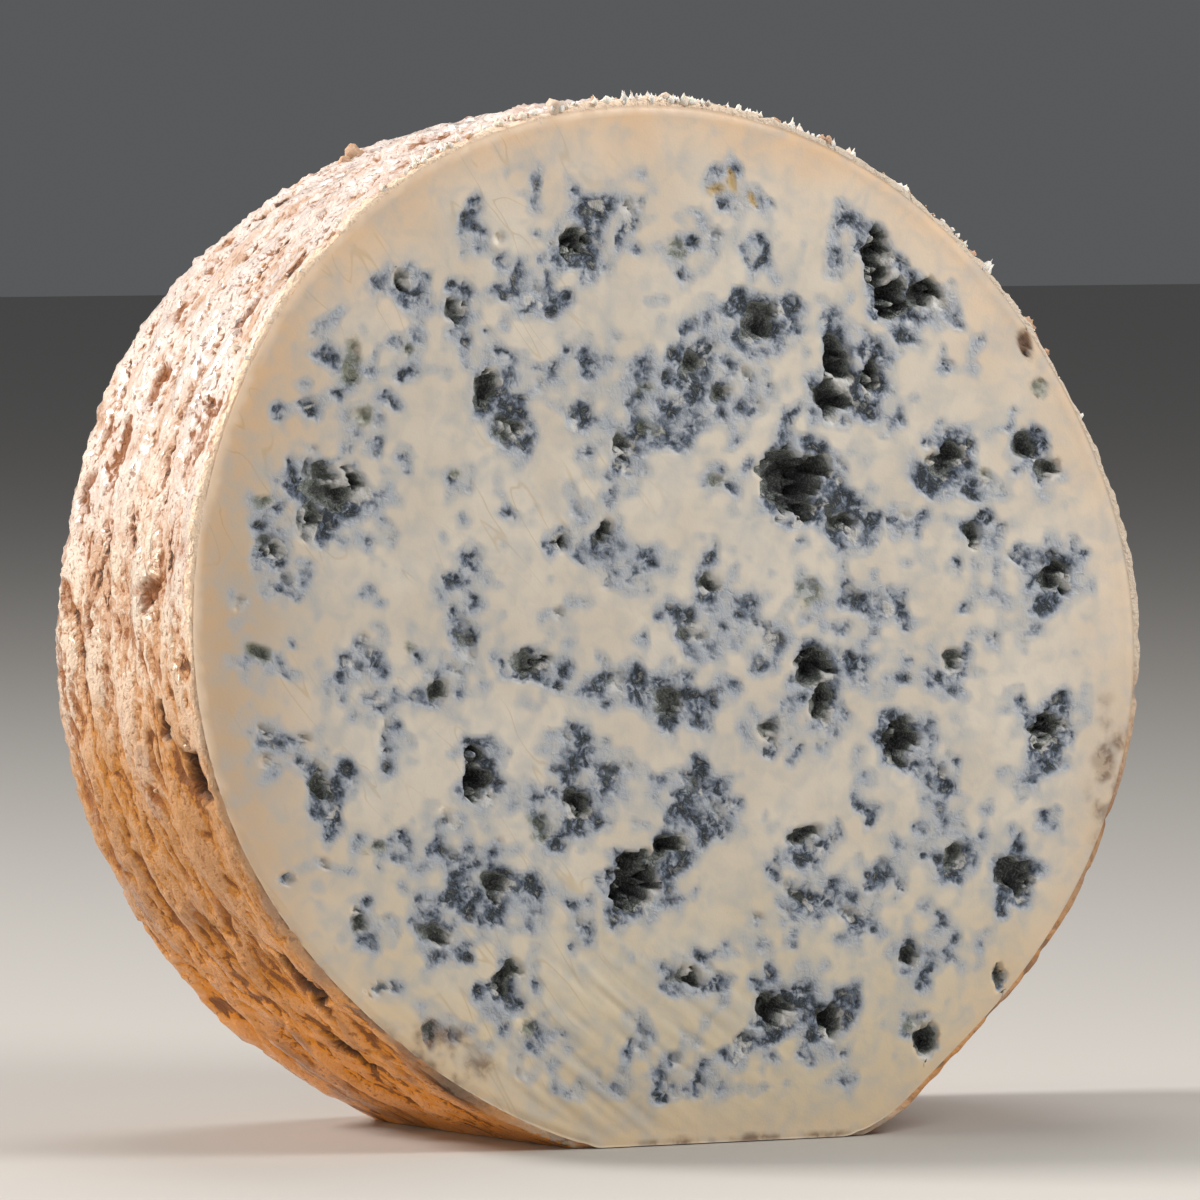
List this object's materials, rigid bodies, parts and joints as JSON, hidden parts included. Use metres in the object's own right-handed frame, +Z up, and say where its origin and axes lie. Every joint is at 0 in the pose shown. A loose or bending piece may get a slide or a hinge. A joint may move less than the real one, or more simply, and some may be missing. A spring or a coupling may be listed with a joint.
{
  "type": "blue cheese round slice",
  "caption": "Thick end slice of a tall round blue cheese, standing on its furrowed rind with the veined and pitted cut face to the front.",
  "frame": {"origin": "on the ground under the middle of the slice's bounding box", "axes": "+Z up, the cut face looks along -Y, and the axis of the round lies along Y"},
  "size_m": [0.1318, 0.05, 0.1299],
  "materials": {
    "cheese": "pale cream paste with blue-grey mould on the cut face, tan to orange-brown rind, slightly moist"
  },
  "bodies": {
    "root": {"cheese": "cheese"}
  },
  "joints": []
}
